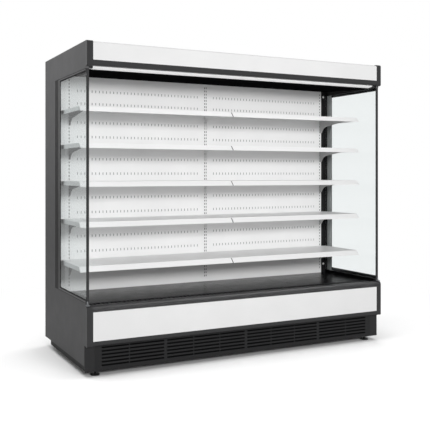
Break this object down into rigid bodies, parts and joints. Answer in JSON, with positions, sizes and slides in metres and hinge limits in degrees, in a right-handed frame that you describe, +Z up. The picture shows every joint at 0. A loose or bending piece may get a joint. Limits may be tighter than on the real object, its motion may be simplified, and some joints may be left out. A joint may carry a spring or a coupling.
{
  "type": "open multideck display fridge",
  "caption": "Free-standing open-front chilled display cabinet with glazed ends, lit canopy, lift-off shelves, dark deck and louvred kick plate.",
  "frame": {"origin": "on the floor, in the middle of the footprint", "axes": "+X along the front to the viewer's right, +Y from the front to the back, +Z up"},
  "size_m": [2.4, 1.055, 2.18],
  "materials": {
    "dark_steel": "dark grey powder coat",
    "grey_paint": "mid grey satin paint on steel",
    "coated_steel": "plain coated steel",
    "end_glass": "clear double glazing",
    "trim_plastic": "dark grey extruded trim",
    "edge_profile": "dark anodised strip",
    "cap_plastic": "dark grey moulded",
    "foam": "rigid polyurethane foam",
    "zinc_steel": "zinc plated",
    "white_panel": "white satin paint",
    "black_grille": "black powder coat",
    "black_plastic": "black moulded honeycomb",
    "black_steel": "black satin paint",
    "kick_paint": "near black powder coat",
    "white_duct": "white powder coat",
    "bracket_paint": "grey white powder coat",
    "shelf_white": "white powder coat with white ticket rail",
    "deck_grey": "dark grey gloss paint",
    "lamp": "opal diffuser, lit",
    "fin_aluminium": "finned coil",
    "galvanised": "galvanised sheet",
    "motor_black": "black enamel",
    "copper": "bare copper tube",
    "foot_black": "black painted steel",
    "fan_plastic": "black moulded blades",
    "key_plastic": "black moulded"
  },
  "bodies": {
    "cabinet": {"base_frame": "dark_steel", "end_panel_left": "grey_paint", "end_panel_right": "grey_paint", "end_glass_left": "end_glass", "end_glass_right": "end_glass", "glass_surrounds": "trim_plastic", "glass_edge_profiles": "edge_profile", "corner_caps": "cap_plastic", "tub_skins": "coated_steel", "rear_wall_skin": "coated_steel", "roof_skin": "coated_steel", "insulation_cores": "foam", "fasteners": "zinc_steel", "lower_front_frame": "dark_steel", "lower_front_panel": "white_panel", "bumper_rail": "dark_steel", "return_air_grille": "black_grille", "plinth_corner_posts": "cap_plastic", "deck_beams": "dark_steel", "shelf_uprights": "white_duct", "duct_panel_left": "white_duct", "duct_panel_right": "white_duct", "corner_fillers": "black_steel", "shelf_brackets": "bracket_paint", "canopy_fascia": "white_panel", "canopy_trim": "dark_steel", "lamp_diffuser": "lamp", "air_outlet_honeycomb": "black_plastic", "canopy_liner": "black_steel", "evaporator": "fin_aluminium", "fan_plate": "galvanised", "evaporator_fan_motors": "motor_black", "condenser": "fin_aluminium", "condenser_fan_shroud": "galvanised", "compressor": "motor_black", "pipework": "copper", "drain_tray": "galvanised", "control_box": "galvanised"},
    "foot_front_left": {"foot_front_left": "foot_black"},
    "foot_front_right": {"foot_front_right": "foot_black"},
    "foot_rear_left": {"foot_rear_left": "foot_black"},
    "foot_rear_right": {"foot_rear_right": "foot_black"},
    "evaporator_fan_left": {"evaporator_fan_left": "fan_plastic"},
    "evaporator_fan_right": {"evaporator_fan_right": "fan_plastic"},
    "condenser_fan": {"condenser_fan": "fan_plastic"},
    "kick_plate": {"kick_plate": "kick_paint"},
    "deck_pan_left": {"deck_pan_left": "deck_grey"},
    "deck_pan_right": {"deck_pan_right": "deck_grey"},
    "shelf_left_1": {"shelf_left_1": "shelf_white"},
    "shelf_left_2": {"shelf_left_2": "shelf_white"},
    "shelf_left_3": {"shelf_left_3": "shelf_white"},
    "shelf_left_4": {"shelf_left_4": "shelf_white"},
    "shelf_left_5": {"shelf_left_5": "shelf_white"},
    "shelf_right_1": {"shelf_right_1": "shelf_white"},
    "shelf_right_2": {"shelf_right_2": "shelf_white"},
    "shelf_right_3": {"shelf_right_3": "shelf_white"},
    "shelf_right_4": {"shelf_right_4": "shelf_white"},
    "shelf_right_5": {"shelf_right_5": "shelf_white"},
    "main_switch": {"main_switch": "key_plastic"},
    "mode_key": {"mode_key": "key_plastic"}
  },
  "joints": [
    {"name": "foot_front_left_turn", "type": "hinge", "parent": "cabinet", "child": "foot_front_left", "pos_m": [-1.114, -0.4275, 0], "axis": [0, 0, 1], "continuous": true},
    {"name": "foot_front_right_turn", "type": "hinge", "parent": "cabinet", "child": "foot_front_right", "pos_m": [1.114, -0.4275, 0], "axis": [0, 0, 1], "continuous": true},
    {"name": "foot_rear_left_turn", "type": "hinge", "parent": "cabinet", "child": "foot_rear_left", "pos_m": [-1.114, 0.3325, 0], "axis": [0, 0, 1], "continuous": true},
    {"name": "foot_rear_right_turn", "type": "hinge", "parent": "cabinet", "child": "foot_rear_right", "pos_m": [1.114, 0.3325, 0], "axis": [0, 0, 1], "continuous": true},
    {"name": "evaporator_fan_left_spin", "type": "hinge", "parent": "cabinet", "child": "evaporator_fan_left", "pos_m": [-0.56, 0.0555, 0.351], "axis": [0, 1, 0], "continuous": true},
    {"name": "evaporator_fan_right_spin", "type": "hinge", "parent": "cabinet", "child": "evaporator_fan_right", "pos_m": [0.56, 0.0555, 0.351], "axis": [0, 1, 0], "continuous": true},
    {"name": "condenser_fan_spin", "type": "hinge", "parent": "cabinet", "child": "condenser_fan", "pos_m": [0.66, -0.314, 0.1335], "axis": [0, 1, 0], "continuous": true},
    {"name": "kick_plate_pull", "type": "slide", "parent": "cabinet", "child": "kick_plate", "axis": [0, -1, 0], "range_m": [0, 0.12]},
    {"name": "deck_pan_left_lift", "type": "slide", "parent": "cabinet", "child": "deck_pan_left", "axis": [0, 0, 1], "range_m": [0, 0.1]},
    {"name": "deck_pan_right_lift", "type": "slide", "parent": "cabinet", "child": "deck_pan_right", "axis": [0, 0, 1], "range_m": [0, 0.1]},
    {"name": "shelf_left_1_lift", "type": "slide", "parent": "cabinet", "child": "shelf_left_1", "axis": [0, 0, 1], "range_m": [0, 0.06]},
    {"name": "shelf_left_2_lift", "type": "slide", "parent": "cabinet", "child": "shelf_left_2", "axis": [0, 0, 1], "range_m": [0, 0.06]},
    {"name": "shelf_left_3_lift", "type": "slide", "parent": "cabinet", "child": "shelf_left_3", "axis": [0, 0, 1], "range_m": [0, 0.06]},
    {"name": "shelf_left_4_lift", "type": "slide", "parent": "cabinet", "child": "shelf_left_4", "axis": [0, 0, 1], "range_m": [0, 0.06]},
    {"name": "shelf_left_5_lift", "type": "slide", "parent": "cabinet", "child": "shelf_left_5", "axis": [0, 0, 1], "range_m": [0, 0.06]},
    {"name": "shelf_right_1_lift", "type": "slide", "parent": "cabinet", "child": "shelf_right_1", "axis": [0, 0, 1], "range_m": [0, 0.06]},
    {"name": "shelf_right_2_lift", "type": "slide", "parent": "cabinet", "child": "shelf_right_2", "axis": [0, 0, 1], "range_m": [0, 0.06]},
    {"name": "shelf_right_3_lift", "type": "slide", "parent": "cabinet", "child": "shelf_right_3", "axis": [0, 0, 1], "range_m": [0, 0.06]},
    {"name": "shelf_right_4_lift", "type": "slide", "parent": "cabinet", "child": "shelf_right_4", "axis": [0, 0, 1], "range_m": [0, 0.06]},
    {"name": "shelf_right_5_lift", "type": "slide", "parent": "cabinet", "child": "shelf_right_5", "axis": [0, 0, 1], "range_m": [0, 0.06]},
    {"name": "main_switch_rock", "type": "hinge", "parent": "cabinet", "child": "main_switch", "pos_m": [-0.98, -0.3715, 0.1305], "axis": [1, 0, 0], "range_deg": [0, 16]},
    {"name": "mode_key_press", "type": "slide", "parent": "cabinet", "child": "mode_key", "axis": [0, 1, 0], "range_m": [0, 0.0015], "stiffness_N_per_m": 300}
  ]
}
